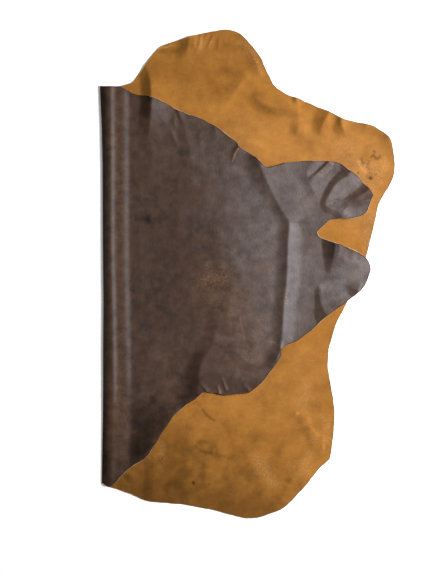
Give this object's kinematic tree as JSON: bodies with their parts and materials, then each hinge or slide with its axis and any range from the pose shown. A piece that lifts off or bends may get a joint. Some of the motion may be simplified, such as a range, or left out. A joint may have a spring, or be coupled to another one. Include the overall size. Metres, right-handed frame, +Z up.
{
  "type": "folded leather hide",
  "caption": "Whole tanned leather hide with a natural cut outline, lying flesh side up with one part folded over to show the grain side.",
  "frame": {"origin": "middle of the bounding box, on the surface that the hide lies on", "axes": "+X across the hide away from the fold, +Y along the fold towards the neck, +Z up from the surface"},
  "size_m": [1.0328, 1.71, 0.0285],
  "materials": {
    "leather": "waxed pull-up grain, satin, with a napped ochre flesh side"
  },
  "bodies": {
    "root": {"hide": "leather"}
  },
  "joints": []
}
